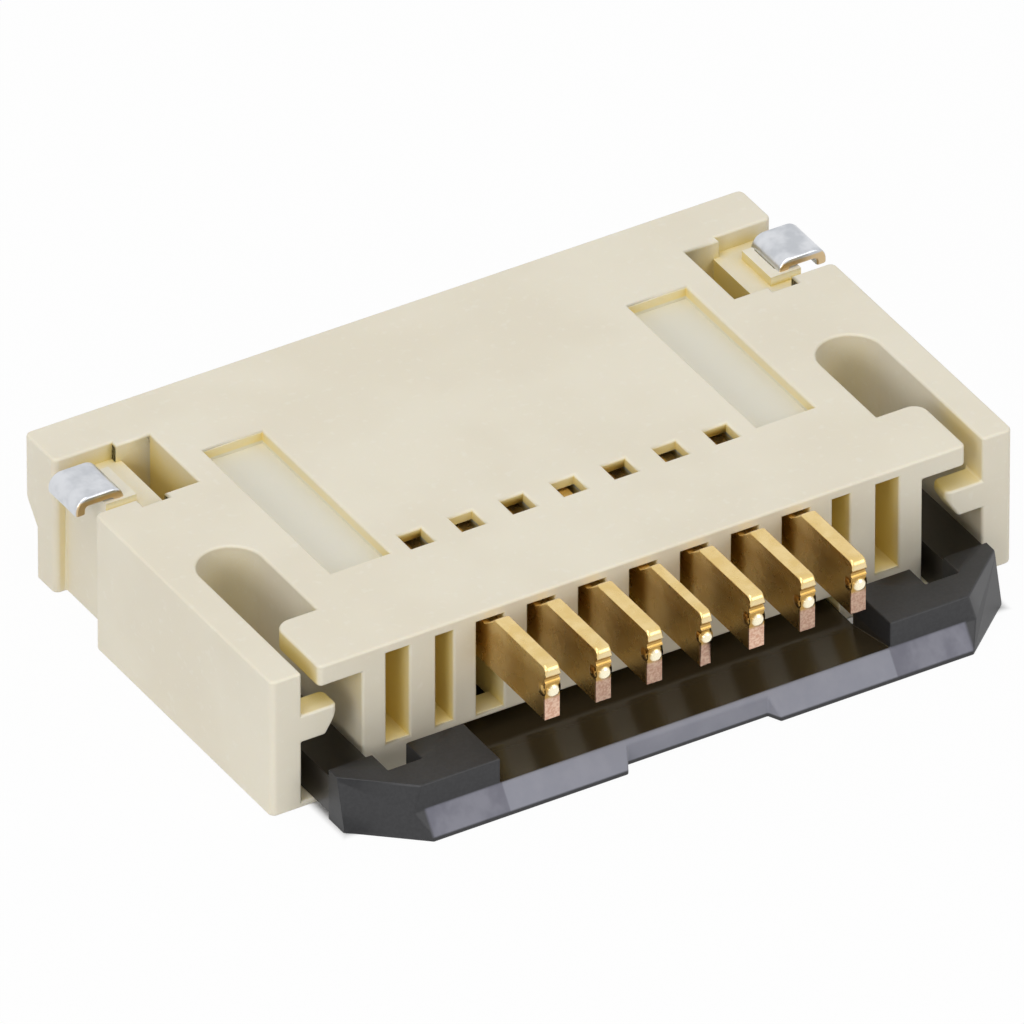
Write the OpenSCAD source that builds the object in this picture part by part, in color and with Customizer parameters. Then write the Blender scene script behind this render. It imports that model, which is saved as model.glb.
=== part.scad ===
// Slider-type FPC connector, surface mount, lying on its cover side with its
// solder side up: Z = 0 is the cover side, +Z the side that meets the board,
// -Y the mouth where the flat cable goes in, +X runs along the contact row.

/* [Contact row] */
// Number of contacts
circuits = 7; // [4:1:9]
// Distance between contact centres
pitch = 1.0; // [1.0:0.05:1.2]
// Width of a contact slot in the comb
slot_w = 0.53; // [0.45:0.01:0.6]
// Thickness of the contact strip
contact_t = 0.29; // [0.2:0.01:0.34]
// Thickness of the lean contact in the middle of the row
lean_contact_t = 0.20; // [0.14:0.01:0.29]
// How far the solder tails stand out of the comb
tail_reach = 2.05; // [1.8:0.05:2.4]
// Height of a solder tail
tail_h = 1.08; // [0.9:0.02:1.3]
// How far the solder faces stand above the underside
standoff = 0.05; // [0.02:0.01:0.1]

/* [Housing] */
// Height of the housing
housing_h = 2.75; // [2.6:0.05:3.2]
// Depth of the housing from the comb to the rear
housing_d = 8.5; // [8.2:0.1:9.5]
// Roof left over the contact slots
roof_t = 0.20; // [0.15:0.01:0.3]
// Wall of the cover side
cover_t = 0.12; // [0.10:0.01:0.2]
// Half width of the centre block beyond the outer contacts
shoulder = 2.50; // [2.4:0.05:3.0]
// Width of a slider channel
channel_w = 1.18; // [1.1:0.02:1.3]
// Length of a slider channel
channel_l = 3.9; // [3.6:0.1:4.4]
// Wall of a side arm
arm_t = 0.60; // [0.5:0.02:0.8]
// Length of the notch between a side arm and the rail
notch_l = 1.9; // [1.7:0.05:2.0]
// Depth of the rear rail
rail_d = 1.0; // [0.8:0.05:1.2]
// How far the rail stays inside the arms
rail_inset = 0.20; // [0.1:0.02:0.3]
// Undercut of the rear face
rear_step = 0.40; // [0.2:0.05:0.5]
// Depth of the bar across the channels
lip_d = 1.5; // [1.2:0.05:1.8]
// Thickness of the bar across the channels
lip_t = 0.42; // [0.35:0.01:0.5]
// Gap between the bar and a side arm
lip_gap = 0.33; // [0.25:0.01:0.4]
// Depth of the shallow recesses
recess_t = 0.26; // [0.1:0.02:0.3]
// Width of the shallow recesses
recess_w = 1.15; // [0.9:0.05:1.2]
// Length of the shallow recesses
recess_l = 4.2; // [3.8:0.1:4.3]
// Side of the square core holes
hole_w = 0.46; // [0.4:0.01:0.5]
// Distance of the core holes behind the comb
hole_y = 2.43; // [2.3:0.01:2.6]

/* [Slider] */
// Thickness of the slider tongue
tongue_t = 0.12; // [0.10:0.01:0.2]
// Thickness of the flat cable that the mouth takes
cable_t = 0.30; // [0.25:0.01:0.33]
// Travel from open to closed
travel = 0.45; // [0.3:0.05:0.5]
// How far the open slider stands out of the housing
slider_reach = 2.0; // [1.9:0.05:2.2]
// Height of the end blocks
block_h = 1.0; // [0.85:0.02:1.1]
// Height of the bevelled front lip
lip_h = 0.50; // [0.4:0.01:0.56]
// Running clearance of the slider
run_gap = 0.02; // [0.01:0.01:0.04]

/* [Solder nails] */
// Thickness of the nail strip
nail_t = 0.20; // [0.15:0.01:0.22]
// Length of the soldered foot
nail_l = 0.95; // [0.8:0.05:1.1]
// How far the foot reaches beyond the side arm
nail_out = 0.12; // [0.05:0.01:0.2]

/* [Hidden] */
$fn = 32;
eps = 0.01;
bead_r = 0.21;
bead_out = 0.05;
bead_drop = 0.50;
waist_r = 0.09;
reach = max(tail_reach + bead_out, slider_reach);
front_y = (reach - housing_d) / 2;
span = (circuits - 1) * pitch;
block_x = span / 2 + shoulder;
arm_in_x = block_x + channel_w;
arm_x = arm_in_x + arm_t;
rail_x = arm_x - rail_inset;
rail_y = housing_d - rail_d;
arm_l = rail_y - notch_l;
notch_x = block_x + 0.45;
tall = 2 * housing_h;
slot_top = housing_h - roof_t;
tongue_z = cover_t + run_gap;
tongue_top = tongue_z + tongue_t;
bar_z = tongue_top + cable_t;
bar_t = 0.10;
bar_d = 0.5;
slot_z = bar_z + bar_t;
cable_side = 0.825;
cable_w = span + 2 * cable_side;
mouth_d = 4.6;
grip_y = 3.2;
grip_d = 2.6;
grip_gap = 0.01;
rib_gap_w = [0.34, 0.45];
rib_gap_x = [span / 2 + 0.72, span / 2 + 1.58];
rib_gap_z = bar_z + 0.16;
rib_gap_d = 0.8;
hook_z = 1.33;
hook_t = 0.55;
hook_reach = 0.70;
hook_d = 0.5;
hook_slant = 0.24;
pocket_x = block_x - 0.22;
pocket_w = 0.56;
pocket_floor = 0.4;
pocket_y = arm_l + 0.15;
pocket_l = notch_l - 0.28;
foot_z = housing_h + standoff;
foot_y = rail_y - 0.33 - nail_l;
leg_x = notch_x + 0.50;
ledge_x = leg_x + nail_t + 0.20;
ledge_z = housing_h - 0.35;
seat_z = foot_z - nail_t - 0.02;
heel_x = block_x + 0.95;
heel_d = 0.22;
leg_step = 0.15;
leg_h = 1.5;
leg_neck = 0.35;
recess_x = span / 2 + 1.18;
recess_y = 2.28;

nose_x = block_x - 0.2;
nose_h = 0.08;
bevel_d = 0.30;
end_x = arm_in_x - 0.22;
corner_d = 1.0;
corner_in = 0.18;
notch_w = 3.0;
notch_d = 0.24;
notch_slant = 0.12;
tongue_l = 2.4;
tip_l = 0.8;
slide_arm_x = block_x + 0.15;
slide_arm_y = -0.8;
slide_arm_l = 3.4;
slide_arm_drop = 0.12;
nub_r = 0.14;
nub_h = 0.7;
rib_gap_back = 1.0;

// A box centred on X
module mid_box(w, y, d, z, h) {
    translate([-w / 2, y, z]) cube([w, d, h]);
}

// What is drawn for +X appears on both sides
module both_sides() {
    for (s = [0, 1]) mirror([s, 0, 0]) children();
}

// Centre of contact n along the row
function contact_x(n) = (n - (circuits + 1) / 2) * pitch;

// ---- housing -------------------------------------------------------------

// Plan of the moulding: centre block, two arms and the rear rail
module housing_plan() {
    r = 0.12;
    union() {
        translate([-arm_x, r]) square([2 * arm_x, arm_l - 2 * r]);
        translate([-arm_x + r, 0]) square([2 * (arm_x - r), arm_l]);
        for (x = [-1, 1], y = [r, arm_l - r]) translate([x * (arm_x - r), y]) circle(r);
        for (s = [0, 1]) mirror([s, 0]) {
            translate([heel_x, arm_l - heel_d]) square([arm_x - r - heel_x, 2 * heel_d]);
            translate([heel_x, arm_l - heel_d]) square([arm_x - heel_x, 2 * heel_d - r]);
            translate([arm_x - r, arm_l + heel_d - r]) circle(r);
        }
        translate([-notch_x, arm_l - 1]) square([2 * notch_x, notch_l + 1.2]);
        translate([-rail_x, rail_y + r]) square([2 * rail_x, rail_d - 2 * r]);
        translate([-rail_x + r, rail_y]) square([2 * (rail_x - r), rail_d]);
        for (x = [-1, 1], y = [rail_y + r, housing_d - r]) translate([x * (rail_x - r), y]) circle(r);
    }
}

// Rear profile in the YZ plane: the lower half steps in behind a slope
module rear_undercut() {
    rotate([90, 0, 90]) translate([0, 0, -arm_x]) linear_extrude(2 * arm_x) polygon([
        [housing_d - rear_step, -eps], [housing_d + 1, -eps], [housing_d + 1, 1.55],
        [housing_d, 1.55], [housing_d - rear_step, 1.05]]);
}

// Slider channel between the centre block and one arm, open at the solder side
module channel() {
    r = channel_w / 2;
    translate([block_x + r, channel_l - r, cover_t]) {
        cylinder(r = r, h = housing_h);
        translate([-r, -channel_l, 0]) cube([channel_w, channel_l, housing_h]);
    }
}

// Bar that spans the centre block and reaches over both channels
module cross_bar() {
    r = 0.28;
    r_front = 0.10;
    x = arm_in_x - lip_gap;
    translate([0, 0, housing_h - lip_t]) linear_extrude(lip_t) union() {
        translate([-x, r_front]) square([2 * x, lip_d - r - r_front]);
        translate([-x + r, 0]) square([2 * (x - r), lip_d]);
        translate([-x + r_front, 0]) square([2 * (x - r_front), lip_d / 2]);
        for (s = [-1, 1]) translate([s * (x - r_front), r_front]) circle(r_front);
        for (s = [-1, 1]) translate([s * (x - r), lip_d - r]) circle(r);
    }
}

// Nose on an arm that keeps the slider's side arm from lifting out
module hook() {
    r = 0.12;
    translate([arm_in_x - hook_reach, 0, hook_z]) difference() {
        linear_extrude(hook_t) union() {
            translate([r, 0]) square([hook_reach - r + 0.05, hook_d]);
            translate([0, r]) square([r + 0.05, hook_d - 2 * r]);
            for (y = [r, hook_d - r]) translate([r, y]) circle(r);
        }
        // slanted underside of the nose
        rotate([90, 0, 0]) translate([0, 0, -hook_d - eps]) linear_extrude(hook_d + 2 * eps)
            polygon([[-eps, -eps], [hook_slant, -eps], [-eps, hook_t - 0.15]]);
    }
}

// Everything that the contact n needs in the moulding
module contact_cut(n) {
    translate([contact_x(n), 0, 0]) {
        mid_box(slot_w, -eps, grip_y + eps, slot_z, slot_top - slot_z);
        mid_box(slot_w, bar_d, grip_y - bar_d, cover_t, slot_top - cover_t);
        mid_box(contact_t + 2 * grip_gap, grip_y - eps, grip_d + eps, cover_t, slot_top - cover_t);
        mid_box(hole_w, hole_y - hole_w / 2, hole_w, slot_top - eps, roof_t + 1);
    }
}

module housing() {
    color("#e2dac3") translate([0, front_y, 0]) difference() {
        union() {
            difference() {
                linear_extrude(housing_h) housing_plan();
                both_sides() channel();
            }
            cross_bar();
            both_sides() hook();
            both_sides() nail_ledge();
            both_sides() nail_seat();
        }
        rear_undercut();
        // cable and tongue cavity behind the mouth
        mid_box(cable_w + 0.1, -eps, mouth_d, cover_t, bar_z - cover_t);
        for (n = [1:circuits]) contact_cut(n);
        both_sides() {
            // coring pockets between the ribs of the comb
            for (i = [0, 1]) translate([rib_gap_x[i], -eps, rib_gap_z])
                cube([rib_gap_w[i], rib_gap_d, slot_top - rib_gap_z]);
            // shallow recess beside the contact row
            translate([recess_x - recess_w / 2, recess_y, housing_h - recess_t])
                cube([recess_w, recess_l, 1]);
            // deep pocket beside the solder nail, with a low wall towards the nail
            translate([pocket_x, pocket_y, pocket_floor]) cube([pocket_w, pocket_l, housing_h]);
            translate([pocket_x, pocket_y, ledge_z])
                cube([leg_x - 0.25 - pocket_x, pocket_l, housing_h]);
            // press-in slot of the solder nail
            translate([leg_x - grip_gap, foot_y + leg_step - grip_gap, foot_z - leg_h - grip_gap])
                cube([nail_t + 2 * grip_gap, nail_l - 2 * leg_step + 2 * grip_gap, leg_h + 1]);
        }
    }
}

// Low block between arm and rail that holds the nail
module nail_ledge() {
    translate([notch_x - 0.1, arm_l - 0.1, 0])
        cube([ledge_x - notch_x + 0.1, notch_l + 0.2, ledge_z]);
}

// Raised seat right under the foot of the nail
module nail_seat() {
    translate([leg_x - 0.2, foot_y - 0.06, 0]) cube([ledge_x + 0.2 - leg_x, nail_l, seat_z]);
}

// ---- contacts ------------------------------------------------------------

// Stamped outline in the YZ plane: solder tail, grip body and spring beam
module contact_outline() {
    top = slot_top - 0.03;
    tail_z = foot_z - tail_h;
    rear = grip_y + grip_d - 0.1;
    nose_r = 0.14;
    union() {
        difference() {
            translate([-tail_reach + nose_r, tail_z]) square([tail_reach + 0.05, tail_h]);
            // slope down to the slot, clear of the edge of the comb
            polygon([[-0.06, top], [-0.38, foot_z], [-0.38, foot_z + 1], [1, foot_z + 1], [1, top]]);
        }
        translate([-tail_reach + nose_r, foot_z - nose_r]) circle(nose_r);
        // front edge: a waist below the rounded corner, then the sheared face
        difference() {
            translate([-tail_reach, tail_z]) square([2 * nose_r, tail_h - nose_r]);
            translate([-tail_reach - waist_r / 3, foot_z - bead_drop + bead_r + waist_r / 3]) circle(waist_r);
        }
        translate([-0.2, tail_z]) square([rear + 0.2, top - tail_z]);
        // upright web at the rear
        translate([rear - 1.0, bar_z + 0.15]) square([1.0, top - bar_z - 0.15]);
        // spring beam that ends in a rounded contact point
        polygon([[rear - 0.9, bar_z + 0.2], [rear - 0.9, bar_z + 0.62], [hole_y, bar_z + 0.34],
                 [hole_y - 0.12, bar_z + 0.16]]);
        translate([hole_y, bar_z + 0.18]) circle(0.16);
    }
}

module contact(n) {
    lean = n == ceil(circuits / 2);
    t = lean ? lean_contact_t : contact_t;
    color("#d8b25a") translate([contact_x(n), front_y, 0]) {
        rotate([90, 0, 90]) translate([0, 0, -t / 2]) linear_extrude(t) contact_outline();
        // coined bead on the front edge
        ball = min(bead_r, t / 2 + bead_out);
        translate([0, ball - tail_reach - bead_out, foot_z - bead_drop]) sphere(ball);
    }
}

// ---- slider --------------------------------------------------------------

// Section of the front lip: short upright nose, bevel, then the cable face
module lip_section(top) {
    far = 4 * arm_x;
    rotate([90, 0, 90]) translate([0, 0, -far]) linear_extrude(2 * far) polygon([
        [-slider_reach, 0], [-slider_reach, nose_h], [-slider_reach + bevel_d, lip_h],
        [-slider_reach + bevel_d, top], [far, top], [far, 0]]);
}

// Flatter section that is turned to follow the cut corners
module corner_section(top) {
    far = 4 * arm_x;
    translate([nose_x, -slider_reach, 0]) rotate([90, 0, 90 + atan2(corner_d, end_x - nose_x)])
        translate([0, 0, -far]) linear_extrude(2 * far) polygon([
            [0, 0], [0, nose_h], [corner_in, top], [far, top], [far, 0]]);
}

// What the sloping cable face leaves free between the end blocks
module cable_space() {
    front = -slider_reach + bevel_d;
    rotate([90, 0, 90]) translate([0, 0, -cable_w / 2]) linear_extrude(cable_w) polygon([
        [front - 1, lip_h], [front, lip_h], [-travel - 0.05, tongue_top],
        [tall, tongue_top], [tall, tall], [front - 1, tall]]);
}

module slider() {
    block_back = travel + 0.05;
    color("#26262a") translate([0, front_y, 0]) difference() {
        union() {
            // front bar with its two end blocks
            intersection() {
                translate([-end_x, -slider_reach, 0]) cube([2 * end_x, slider_reach - block_back, block_h]);
                lip_section(block_h);
                corner_section(block_h);
                mirror([1, 0, 0]) corner_section(block_h);
            }
            // tongue that lies on the cover wall under the cable
            difference() {
                mid_box(cable_w, -slider_reach + 0.6, slider_reach - 0.6 + tongue_l, tongue_z, tongue_t);
                // tapered tip
                translate([-cable_w, tongue_l - tip_l, tongue_top]) rotate([-5, 0, 0])
                    cube([2 * cable_w, 2 * tip_l, tongue_t]);
            }
            // side arms that run in the channels
            both_sides() side_arm();
        }
        cable_space();
        // finger notch in the middle of the nose
        translate([0, -slider_reach, -eps]) linear_extrude(tall) polygon([
            [-notch_w / 2, -1], [notch_w / 2, -1], [notch_w / 2, 0],
            [notch_w / 2 - notch_slant, notch_d], [notch_slant - notch_w / 2, notch_d],
            [-notch_w / 2, 0]]);
        // clearance for the low rib of the comb
        both_sides() translate([block_x - 0.55, -rib_gap_back, 0.35])
            cube([0.65, rib_gap_back + 0.1, tall]);
    }
}

// Side arm with a latch nub at its end
module side_arm() {
    translate([slide_arm_x, slide_arm_y, tongue_z])
        cube([end_x - slide_arm_x, slide_arm_l, block_h - slide_arm_drop - tongue_z]);
    translate([end_x, slide_arm_y + slide_arm_l - 0.4, tongue_z]) cylinder(r = nub_r, h = nub_h);
}

// ---- solder nails --------------------------------------------------------

// Quarter ring of the strip, centred on its bend
module strip_bend(r) {
    intersection() {
        difference() {
            circle(r);
            circle(r - nail_t);
        }
        square(r);
    }
}

// Strip bent over the ledge: upright leg, flat foot and turned-down end
module nail_section() {
    r = nail_t + 0.06;
    out = arm_x + nail_out;
    translate([leg_x, foot_z - leg_h]) square([nail_t, leg_h - r]);
    translate([leg_x + r, foot_z - r]) mirror([1, 0]) strip_bend(r);
    translate([leg_x + r, foot_z - nail_t]) square([out - leg_x - 2 * r, nail_t]);
    translate([out - r, foot_z - r]) strip_bend(r);
    translate([out - nail_t, foot_z - r - 0.10]) square([nail_t, 0.10]);
}

module nail() {
    color("#c9ccd2") translate([0, front_y + foot_y, 0]) difference() {
        rotate([90, 0, 0]) translate([0, 0, -nail_l]) linear_extrude(nail_l) nail_section();
        // the upright leg is narrower than the foot
        for (y = [-eps, nail_l - leg_step]) translate([leg_x - eps, y, foot_z - leg_h - eps])
            cube([nail_t + 2 * eps, leg_step + eps, leg_h - leg_neck]);
    }
}

module solder_nail_right() nail();
module solder_nail_left() mirror([1, 0, 0]) nail();

housing();
slider();
contact(1);  // contact_1
contact(2);  // contact_2
contact(3);  // contact_3
contact(4);  // contact_4
contact(5);  // contact_5
contact(6);  // contact_6
contact(7);  // contact_7
solder_nail_left();
solder_nail_right();
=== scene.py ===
import math
import bpy
from mathutils import Matrix, Vector


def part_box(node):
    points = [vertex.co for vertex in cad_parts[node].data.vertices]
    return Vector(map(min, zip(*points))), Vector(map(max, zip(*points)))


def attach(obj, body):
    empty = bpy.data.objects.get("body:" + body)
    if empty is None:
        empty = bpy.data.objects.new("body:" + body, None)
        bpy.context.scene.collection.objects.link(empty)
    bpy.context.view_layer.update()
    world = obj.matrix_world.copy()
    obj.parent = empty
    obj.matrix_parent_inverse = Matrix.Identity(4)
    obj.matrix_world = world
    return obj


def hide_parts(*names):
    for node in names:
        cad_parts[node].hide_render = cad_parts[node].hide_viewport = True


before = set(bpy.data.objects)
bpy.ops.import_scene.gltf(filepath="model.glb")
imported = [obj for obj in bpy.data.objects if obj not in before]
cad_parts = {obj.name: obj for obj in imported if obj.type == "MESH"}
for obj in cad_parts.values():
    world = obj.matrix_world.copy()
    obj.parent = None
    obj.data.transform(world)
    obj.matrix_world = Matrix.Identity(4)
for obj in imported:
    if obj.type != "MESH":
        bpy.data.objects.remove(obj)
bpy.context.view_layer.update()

# ---- housing ---------------------------------------------------------------
# One moulding in cream, glass-filled liquid crystal polymer: comb with coring
# pockets, two side arms with hooks, a bar over the slider channels and the rear
# rail. The tool leaves small radii on the outer edges and a fine satin grain.
MM = 0.001
HOUSING_LOW, HOUSING_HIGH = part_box("housing")
COMB_Y = HOUSING_LOW.y / MM
HOUSING_TOP = HOUSING_HIGH.z / MM
NEAR = 0.01
ARM_FROM = 5.45
NAIL_SEAT_FROM = 5.5
NAIL_SEAT_D = 1.2
HOUSING_RADIUS = 0.05
RECESS_FROM = 2.2
RECESS_SIDE = 4.80
RECESS_D = 0.26
SHADE_REACH = 1.1
FINE_MERGE = 0.0005
FLAT_ANGLE = math.radians(0.6)
EDGE_ANGLE = math.radians(32)
SMOOTH_ANGLE = math.radians(42)
LARGEST_FACE_ONLY = 100


def softened(node, name, radius, rounded, segments=3):
    """A merged copy of a CAD node, whose sharp edges get a small radius where rounded() says so.

    It is worked on in millimetres, and rounded() takes the middle of an edge.
    """
    bpy.ops.object.select_all(action="DESELECT")
    piece = bpy.data.objects.new(name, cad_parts[node].data.copy())
    bpy.context.scene.collection.objects.link(piece)
    piece.data.transform(Matrix.Scale(1 / MM, 4))
    bpy.context.view_layer.objects.active = piece
    piece.select_set(True)
    bpy.ops.object.mode_set(mode="EDIT")
    bpy.ops.mesh.select_mode(type="EDGE")
    bpy.ops.mesh.select_all(action="SELECT")
    bpy.ops.mesh.remove_doubles(threshold=FINE_MERGE)
    bpy.ops.mesh.dissolve_limited(angle_limit=FLAT_ANGLE)
    bpy.ops.mesh.select_all(action="DESELECT")
    bpy.ops.mesh.edges_select_sharp(sharpness=EDGE_ANGLE)
    bpy.ops.object.mode_set(mode="OBJECT")
    points = [v.co.copy() for v in piece.data.vertices]
    sharp = [e.index for e in piece.data.edges if e.select]
    for group in (piece.data.vertices, piece.data.edges, piece.data.polygons):
        group.foreach_set("select", [False] * len(group))
    for index in sharp:
        edge = piece.data.edges[index]
        start, end = (points[v] for v in edge.vertices)
        if rounded((start + end) / 2):
            edge.select = True
            for v in edge.vertices:
                piece.data.vertices[v].select = True
    bpy.ops.object.mode_set(mode="EDIT")
    bpy.ops.mesh.bevel(offset=radius, segments=segments, affect="EDGES",
                        clamp_overlap=False, loop_slide=False)
    bpy.ops.object.mode_set(mode="OBJECT")
    bpy.ops.object.shade_smooth_by_angle(angle=SMOOTH_ANGLE)
    flats = piece.modifiers.new("flats", "WEIGHTED_NORMAL")
    flats.keep_sharp = True
    flats.weight = LARGEST_FACE_ONLY
    bpy.ops.object.modifier_apply(modifier="flats")
    piece.data.transform(Matrix.Scale(MM, 4))
    piece.data.materials.clear()
    piece.select_set(False)
    return piece


class Value:
    """One socket of a finish, so that its maths reads as plain arithmetic."""

    def __init__(self, finish, socket):
        self.finish = finish
        self.socket = socket

    def maths(self, operation, *values):
        return self.finish.node("ShaderNodeMath", {"operation": operation}, *values)

    def __add__(self, other):
        return self.maths("ADD", self, other)

    def __sub__(self, other):
        return self.maths("SUBTRACT", self, other)

    def __rsub__(self, other):
        return self.maths("SUBTRACT", other, self)

    def __mul__(self, other):
        return self.maths("MULTIPLY", self, other)

    def __abs__(self):
        return self.maths("ABSOLUTE", self)

    __radd__ = __add__
    __rmul__ = __mul__

    def at_least(self, other):
        return self.maths("MAXIMUM", self, other)

    def ramp(self, low, high):
        """0 below low, 1 above high, smooth between them."""
        settings = {"interpolation_type": "SMOOTHSTEP"}
        return self.finish.node("ShaderNodeMapRange", settings, self, low, high, 0.0, 1.0)


class Finish:
    """The nodes of a material or of the world. Values go in by socket name or order."""

    def __init__(self, owner, shader="Principled BSDF"):
        owner.use_nodes = True
        self.owner = owner
        self.tree = owner.node_tree
        self.shader = self.tree.nodes[shader]

    def node(self, kind, settings, *values, out=0, **named):
        """A new node as the Value of one output, or as a list of them where out names several."""
        made = self.tree.nodes.new(kind)
        for key, value in settings.items():
            setattr(made, key, value)
        for key, value in [*enumerate(values), *named.items()]:
            self.feed(made.inputs[key], value)
        if isinstance(out, tuple):
            return [Value(self, made.outputs[key]) for key in out]
        return Value(self, made.outputs[out])

    def feed(self, socket, value):
        if isinstance(value, Value):
            self.tree.links.new(value.socket, socket)
        else:
            socket.default_value = value

    def set(self, **named):
        for key, value in named.items():
            self.feed(self.shader.inputs[key.replace("_", " ")], value)

    def place(self):
        """The place on the piece, in metres."""
        return self.node("ShaderNodeTexCoord", {}, out="Object")

    def axes(self):
        """X, Y and Z of the place on the piece, in millimetres."""
        metres = self.node("ShaderNodeSeparateXYZ", {}, self.place(), out=(0, 1, 2))
        return [axis * (1 / MM) for axis in metres]

    def noise(self, size, detail=2.0, stretch=(1, 1, 1)):
        """Noise whose spots are about size millimetres across."""
        scale = [s / (size * MM) for s in stretch]
        spot = self.node("ShaderNodeMapping", {}, self.place(), Scale=scale)
        return self.node("ShaderNodeTexNoise", {}, spot, Scale=1.0, Detail=detail, Roughness=0.5)

    def tint(self, factor, first, second):
        """A colour between two colours."""
        mix = self.node("ShaderNodeMix", {"data_type": "RGBA"}, factor, out=2)
        inputs = mix.socket.node.inputs
        self.feed(inputs[6], first)
        self.feed(inputs[7], second)
        return mix

    def bump(self, height, depth):
        """A normal from a height of 0 to 1 over depth millimetres."""
        return self.node("ShaderNodeBump", {}, Strength=1.0, Distance=depth * MM, Height=height,
                         out="Normal")


def srgb(red, green, blue):
    """A linear colour from screen values of 0 to 255."""
    def linear(c):
        c = c / 255
        return c / 12.92 if c <= 0.04045 else ((c + 0.055) / 1.055) ** 2.4
    return (linear(red), linear(green), linear(blue), 1.0)


def cream_plastic():
    """Cream with faint clouds and glass specks, greyer in the two recesses, with ochre painted
    shade in hollows that the sky hardly reaches.
    """
    finish = Finish(bpy.data.materials.new("cream_moulded_plastic"))
    cloud = finish.noise(2.6, detail=3.0).ramp(0.35, 0.65)
    speck = finish.noise(0.16).ramp(0.58, 0.75)
    grain = finish.noise(0.05)
    x, y, z = finish.axes()
    depth = HOUSING_TOP - z
    recess = depth.ramp(RECESS_D - 0.08, RECESS_D - 0.04)
    recess = recess * (1.0 - depth.ramp(RECESS_D + 0.02, RECESS_D + 0.05))
    recess = recess * (y - COMB_Y).ramp(RECESS_FROM, RECESS_FROM + 0.1)
    recess = recess * (1.0 - abs(x).ramp(RECESS_SIDE, RECESS_SIDE + 0.04))
    open_sky = finish.node("ShaderNodeAmbientOcclusion", {"samples": 4, "only_local": True},
                           out="AO", Distance=SHADE_REACH * MM)
    # Painted shade: hollows that the sky hardly reaches are tinted ochre in the colour.
    painted_pocket_shade = (1.0 - open_sky).ramp(0.16, 0.72)
    skin = finish.tint(cloud, srgb(233, 226, 207), srgb(229, 221, 201))
    skin = finish.tint(speck * 0.35, skin, srgb(238, 233, 218))
    skin = finish.tint(painted_pocket_shade, skin, srgb(232, 210, 128))
    skin = finish.tint(recess * 0.8, skin, srgb(220, 217, 203))
    finish.set(Base_Color=skin, Roughness=0.46 + 0.10 * grain, Normal=finish.bump(grain, 0.0012),
               IOR=1.52, Subsurface_Weight=0.10, Subsurface_Radius=(1.0, 0.7, 0.35),
               Subsurface_Scale=0.12 * MM)
    return finish.owner


def outside_edge(middle):
    """Edges of the moulding that can be seen: the top, the arms and the front of the comb."""
    below_top = HOUSING_TOP - middle.z
    behind_comb = middle.y - COMB_Y
    arm = abs(middle.x) > ARM_FROM
    nail_seat = behind_comb > NAIL_SEAT_FROM and NEAR < below_top < NAIL_SEAT_D
    return (below_top < NEAR or arm or behind_comb < NEAR) and not nail_seat


housing = softened("housing", "housing_moulding", HOUSING_RADIUS, outside_edge)
housing.data.materials.append(cream_plastic())
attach(housing, "housing")
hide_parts("housing")

# ---- contacts --------------------------------------------------------------
# Seven stamped strips of copper alloy, gold plated before they were cut off at
# the tail, so the lower front edge shows pinkish bare metal. Each is pressed into
# its slot, with a rounded front corner, a waist and a coined bead on the tail.
CONTACTS = [f"contact_{n}" for n in range(1, 8)]
CONTACT_LOW, CONTACT_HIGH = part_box(CONTACTS[0])
TAIL_FRONT = CONTACT_LOW.y / MM
TAIL_TOP = CONTACT_HIGH.z / MM
BEAD_OUT = 0.05
FACE_BACK = 0.045
CORNER_DROP = 0.16
WAIST_DROP = 0.30
SHEAR_DROP = 0.62
TONE_BLEND = 0.08
ROLLED_SHARE = 0.35


def gold_plate():
    """Gold, with painted shade lower down and beside the bead, a painted highlight on its crown,
    bare metal below it.
    """
    finish = Finish(bpy.data.materials.new("gold_plated_strip"))
    _, y, z = finish.axes()
    back = y - TAIL_FRONT
    drop = TAIL_TOP - z
    wave = finish.noise(0.35, detail=3.0)
    fine = finish.noise(0.03)
    lines = finish.noise(0.04, stretch=(1, 0.12, 1))
    front = 1.0 - back.ramp(0.10, 0.16)
    # Painted highlight: the crown of the bead is near white in the colour; it is also less rough.
    painted_highlight_and_polish = 1.0 - back.ramp(0.004, 0.075)
    sheared = front * drop.ramp(SHEAR_DROP, SHEAR_DROP + TONE_BLEND)
    # Painted shade: the front face around the bead is a darker gold.
    painted_bead_shade = front * (1.0 - painted_highlight_and_polish) * drop.ramp(CORNER_DROP, CORNER_DROP + TONE_BLEND)
    # Painted shade: the gold darkens lower down the strip.
    painted_lower_shade = drop.ramp(0.12, 0.42)
    gold = finish.tint(wave.ramp(0.3, 0.7), srgb(232, 206, 148), srgb(222, 192, 126))
    gold = finish.tint(painted_lower_shade * 0.55, gold, srgb(182, 142, 66))
    gold = finish.tint(painted_bead_shade * 0.6, gold, srgb(160, 118, 48))
    gold = finish.tint(painted_highlight_and_polish, gold, srgb(255, 246, 216))
    copper = finish.tint(lines.ramp(0.35, 0.65), srgb(228, 196, 172), srgb(206, 162, 138))
    finish.set(Base_Color=finish.tint(sheared, gold, copper), Metallic=1.0,
               Roughness=0.22 + 0.10 * wave + 0.18 * sheared - 0.06 * painted_highlight_and_polish,
               Normal=finish.bump(fine * 0.5 + lines * 0.5, 0.0012))
    return finish.owner


def tail_edge(middle):
    """Edges of the soldered face and of the rounded corner in front of it."""
    return middle.z > TAIL_TOP - CORNER_DROP


gold = gold_plate()
for name in CONTACTS:
    lowest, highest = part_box(name)
    half_strip = (highest.x - lowest.x) / 2 / MM - BEAD_OUT
    contact = softened(name, name + "_strip", ROLLED_SHARE * half_strip, tail_edge, segments=4)
    for v in contact.data.vertices:
        on_front = abs(v.co.y / MM - TAIL_FRONT - BEAD_OUT) < NEAR
        if on_front and v.co.z / MM < TAIL_TOP - WAIST_DROP:
            v.co.y += FACE_BACK * MM
    contact.data.materials.append(gold)
    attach(contact, "housing")
    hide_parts(name)

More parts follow.
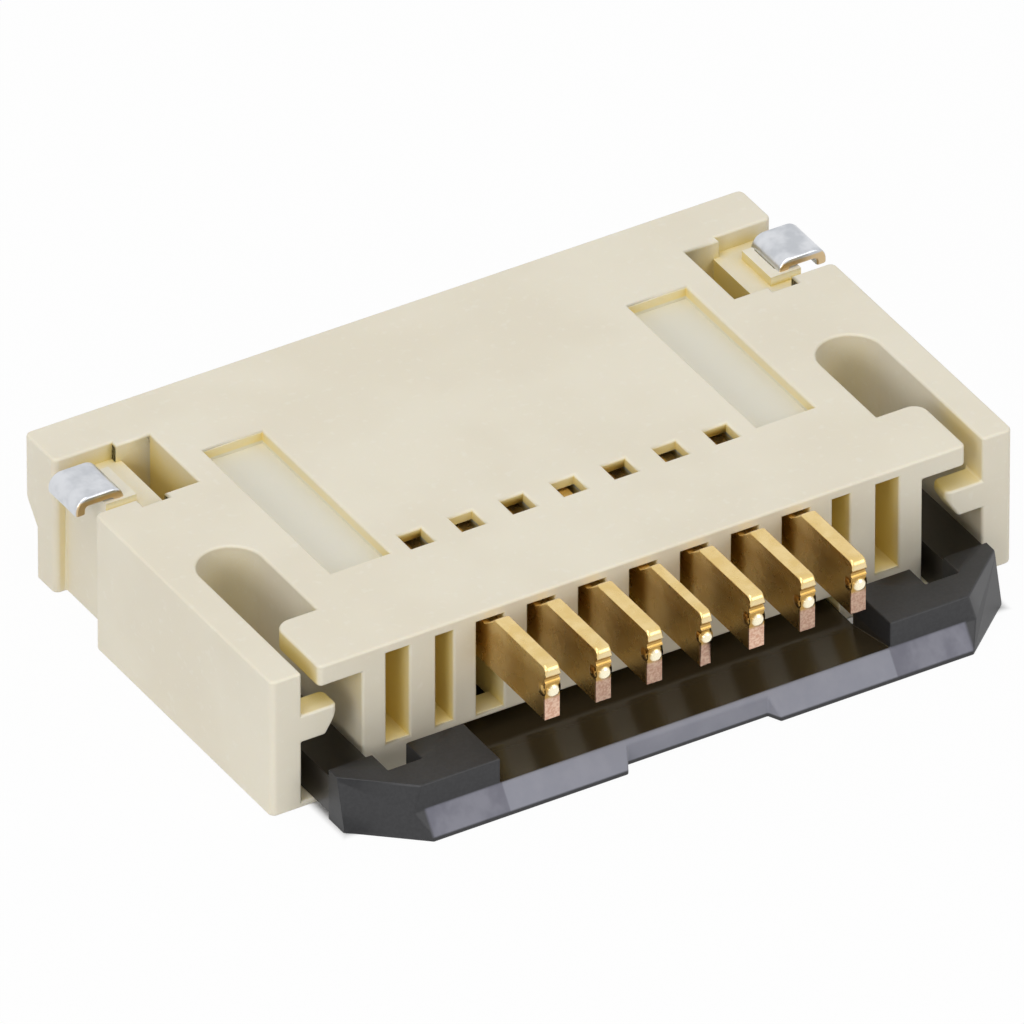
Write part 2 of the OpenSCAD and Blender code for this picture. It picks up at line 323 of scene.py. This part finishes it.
# ---- solder nails ----------------------------------------------------------
# Two short strips of brass, tin plated, bent over the ledges beside the rear
# rail and pressed in. The plate is bright and slightly uneven, and the sheared
# ends show tan metal.
NAIL_LOW, NAIL_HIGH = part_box("solder_nail_right")
NAIL_FRONT = NAIL_LOW.y / MM
NAIL_REAR = NAIL_HIGH.y / MM
NAIL_TOP = NAIL_HIGH.z / MM
NAIL_FOOT_D = 0.5
NAIL_RADIUS = 0.05


def tin_plate():
    """Uneven bright tin, with bare tan metal on the two cut ends below the rounded top edge."""
    finish = Finish(bpy.data.materials.new("tin_plated_strip"))
    _, y, z = finish.axes()
    front = 1.0 - (y - NAIL_FRONT).ramp(0.01, 0.03)
    back = (y - NAIL_REAR).ramp(-0.03, -0.01)
    below = 1.0 - (z - NAIL_TOP).ramp(-0.10, -0.06)
    sheared = front.at_least(back) * below
    puddle = finish.noise(0.45, detail=3.0)
    fine = finish.noise(0.04)
    tone = finish.tint(puddle.ramp(0.35, 0.65), srgb(216, 218, 222), srgb(190, 193, 198))
    tone = finish.tint(sheared, tone, srgb(205, 180, 140))
    finish.set(Base_Color=tone, Metallic=1.0, Roughness=0.24 + 0.16 * puddle,
               Normal=finish.bump(puddle * 0.8 + fine * 0.2, 0.010))
    return finish.owner


def foot_edge(middle):
    """Edges of the foot that is soldered to the board."""
    return middle.z > NAIL_TOP - NAIL_FOOT_D


tin = tin_plate()
for name in ("solder_nail_left", "solder_nail_right"):
    nail = softened(name, name + "_strip", NAIL_RADIUS, foot_edge)
    nail.data.materials.append(tin)
    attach(nail, "housing")
    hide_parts(name)

# ---- slider ----------------------------------------------------------------
# One black moulding that wedges the cable against the contacts. Its cable face is
# polished and browner by a painted reflection, the end blocks and the bevelled lip
# are satin, the bevel has a painted pale sheen, and the arms carry painted shade.
# It runs in the housing's channels.
SLIDER_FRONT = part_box("slider")[0].y / MM
CABLE_HALF = 3.82
NOSE_HALF = 5.30
LIP_H = 0.50
BEVEL_D = 0.30
BLOCK_BACK = COMB_Y - 0.50
SLOPE_SIDE = 6.40
SLOPE_D = 0.95
SLIDER_RADIUS = 0.03


def black_plastic():
    """Satin black, polished with a painted brown reflection on the cable face, a painted pale sheen
    along the bevelled lip, painted shade on the arms.
    """
    finish = Finish(bpy.data.materials.new("black_moulded_plastic"))
    x, y, z = finish.axes()
    side = abs(x)
    grain = finish.noise(0.06)
    streak = finish.noise(0.5, detail=3.0, stretch=(1, 0.15, 1))
    inside = 1.0 - side.ramp(CABLE_HALF - 0.03, CABLE_HALF + 0.03)
    low = 1.0 - z.ramp(LIP_H - 0.01, LIP_H + 0.03)
    behind = (y - SLIDER_FRONT).ramp(BEVEL_D, BEVEL_D + 0.05)
    face = inside * low * behind
    ends = 1.0 - side.ramp(NOSE_HALF - 0.04, NOSE_HALF + 0.04)
    lip = (1.0 - behind) * z.ramp(0.07, 0.11) * low * ends
    outer = side.ramp(CABLE_HALF - 0.04, CABLE_HALF)
    # Painted shade: the arms behind the blocks are darker and browner, as a lower surface in shadow
    # would be; they are also glossier.
    arms_gloss_and_painted_shade = (y - BLOCK_BACK).ramp(-0.02, 0.02)
    body = finish.tint(grain.ramp(0.3, 0.7), srgb(34, 34, 36), srgb(42, 42, 44))
    body = finish.tint(arms_gloss_and_painted_shade, body, srgb(30, 26, 22))
    # Painted sheen: the bevelled lip is pale grey, paler on the inner facets than the outer ones,
    # with paler streaks.
    painted_bevel_sheen = finish.tint(outer, srgb(130, 131, 142), srgb(98, 98, 110))
    painted_bevel_sheen = finish.tint(streak.ramp(0.4, 0.7) * 0.4, painted_bevel_sheen, srgb(146, 146, 156))
    tone = finish.tint(lip, body, painted_bevel_sheen)
    # Painted reflection: the polished cable face is tinted warm brown in the colour.
    tone = finish.tint(face, tone, srgb(54, 46, 32))
    finish.set(Base_Color=tone, Roughness=0.44 - 0.26 * face - 0.16 * arms_gloss_and_painted_shade + 0.06 * grain,
               Normal=finish.bump(grain, 0.0010))
    return finish.owner


def block_edge(middle):
    """Edges in front of the blocks' rear face and of the slopes' rear ends, where the arms join."""
    slope_end = abs(middle.x) > SLOPE_SIDE and middle.y > SLIDER_FRONT + SLOPE_D
    return middle.y < BLOCK_BACK - NEAR and not slope_end


slider = softened("slider", "slider_moulding", SLIDER_RADIUS, block_edge)
slider.data.materials.append(black_plastic())
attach(slider, "slider")
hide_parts("slider")

# ---- floor, light and camera -----------------------------------------------
# A white floor under white air, a large soft box overhead, a smaller one from the
# front right that the slider's bevel and the beads mirror, and a weak one from
# the left. The camera is a very long lens, so that parallel edges stay parallel.
WHITE = (1.0, 1.0, 1.0, 1.0)
PAPER_GREY = (0.80, 0.80, 0.80, 1.0)
PAPER_SIZE = 4
PAPER_GAP = 0.002
UNDER_X = 6.4
UNDER_Y = 4.2
UNDER_BLEND = 0.2
PAPER_WHITE_SHARE = 0.96
AIR_LEVEL = 0.42
BOX_DISTANCE = 0.30
bpy.ops.object.select_all(action="DESELECT")
bpy.ops.mesh.primitive_plane_add(size=PAPER_SIZE, location=(0, 0, -PAPER_GAP * MM))
floor = bpy.context.active_object
floor.name = "floor"
floor.data.transform(floor.matrix_world)
floor.matrix_world = Matrix.Identity(4)


def white_in_view(finish, kind, share):
    """Camera, mirror and glass rays see plain white, of the given kind of node, to this share."""
    camera_ray, mirror_ray, glass_ray = finish.node(
        "ShaderNodeLightPath", {}, out=("Is Camera Ray", "Is Glossy Ray", "Is Transmission Ray"))
    seen = camera_ray.at_least(mirror_ray).at_least(glass_ray)
    lit = Value(finish, finish.shader.outputs[0])
    white = finish.node(kind, {}, Color=WHITE, Strength=1.0)
    surface = finish.node("ShaderNodeMixShader", {}, seen * share, lit, white)
    output = next(node for node in finish.tree.nodes if node.type.startswith("OUTPUT"))
    finish.feed(output.inputs["Surface"], surface)


paper = Finish(bpy.data.materials.new("white_paper"))
paper.set(Base_Color=PAPER_GREY, Roughness=0.9, Specular_IOR_Level=0.0)
# Under the part the paper keeps its own shaded grey, so that no gap shows plain white.
paper_x, paper_y, _ = paper.axes()
past_sides = abs(paper_x).ramp(UNDER_X, UNDER_X + UNDER_BLEND)
past_ends = abs(paper_y).ramp(UNDER_Y, UNDER_Y + UNDER_BLEND)
uncovered = past_sides.at_least(past_ends)
white_in_view(paper, "ShaderNodeEmission", PAPER_WHITE_SHARE * uncovered)
floor.data.materials.append(paper.owner)

world = bpy.data.worlds.new("studio_air")
air = Finish(world, "Background")
air.set(Color=WHITE, Strength=AIR_LEVEL)
white_in_view(air, "ShaderNodeBackground", 1.0)
bpy.context.scene.world = world


def soft_box(name, direction, size, level):
    """A square lamp that lights a white surface facing it to about this level."""
    lamp = bpy.data.lights.new(name, "AREA")
    lamp.size = size
    lamp.energy = level * math.pi ** 2 * BOX_DISTANCE ** 2
    holder = bpy.data.objects.new(name, lamp)
    bpy.context.scene.collection.objects.link(holder)
    way = Vector(direction).normalized()
    holder.location = way * BOX_DISTANCE
    holder.rotation_euler = way.to_track_quat("Z", "Y").to_euler()
    holder.visible_camera = False


soft_box("overhead_box", (-0.25, -0.15, 1.0), size=0.22, level=0.40)
soft_box("front_right_box", (0.42, -0.74, 0.52), size=0.15, level=0.17)
soft_box("left_box", (-1.0, -0.5, 0.45), size=0.12, level=0.24)

VIEW_AZIMUTH = math.radians(-31.0)
VIEW_ELEVATION = math.radians(34.8)
VIEW_WIDTH = 17.356 * MM
VIEW_DISTANCE = 0.6
VIEW_CENTRE = Vector((0.804, COMB_Y + 5.633, 0)) * MM
lens = bpy.data.cameras.new("camera")
camera = bpy.data.objects.new("camera", lens)
bpy.context.scene.collection.objects.link(camera)
towards_camera = Vector((math.sin(VIEW_AZIMUTH) * math.cos(VIEW_ELEVATION),
                         -math.cos(VIEW_AZIMUTH) * math.cos(VIEW_ELEVATION),
                         math.sin(VIEW_ELEVATION)))
camera.location = VIEW_CENTRE + towards_camera * VIEW_DISTANCE
camera.rotation_euler = towards_camera.to_track_quat("Z", "Y").to_euler()
lens.sensor_width = 36
lens.lens = lens.sensor_width * VIEW_DISTANCE / VIEW_WIDTH
lens.clip_start = 0.01
lens.clip_end = 10
bpy.context.scene.camera = camera
bpy.context.scene.view_settings.view_transform = "Standard"
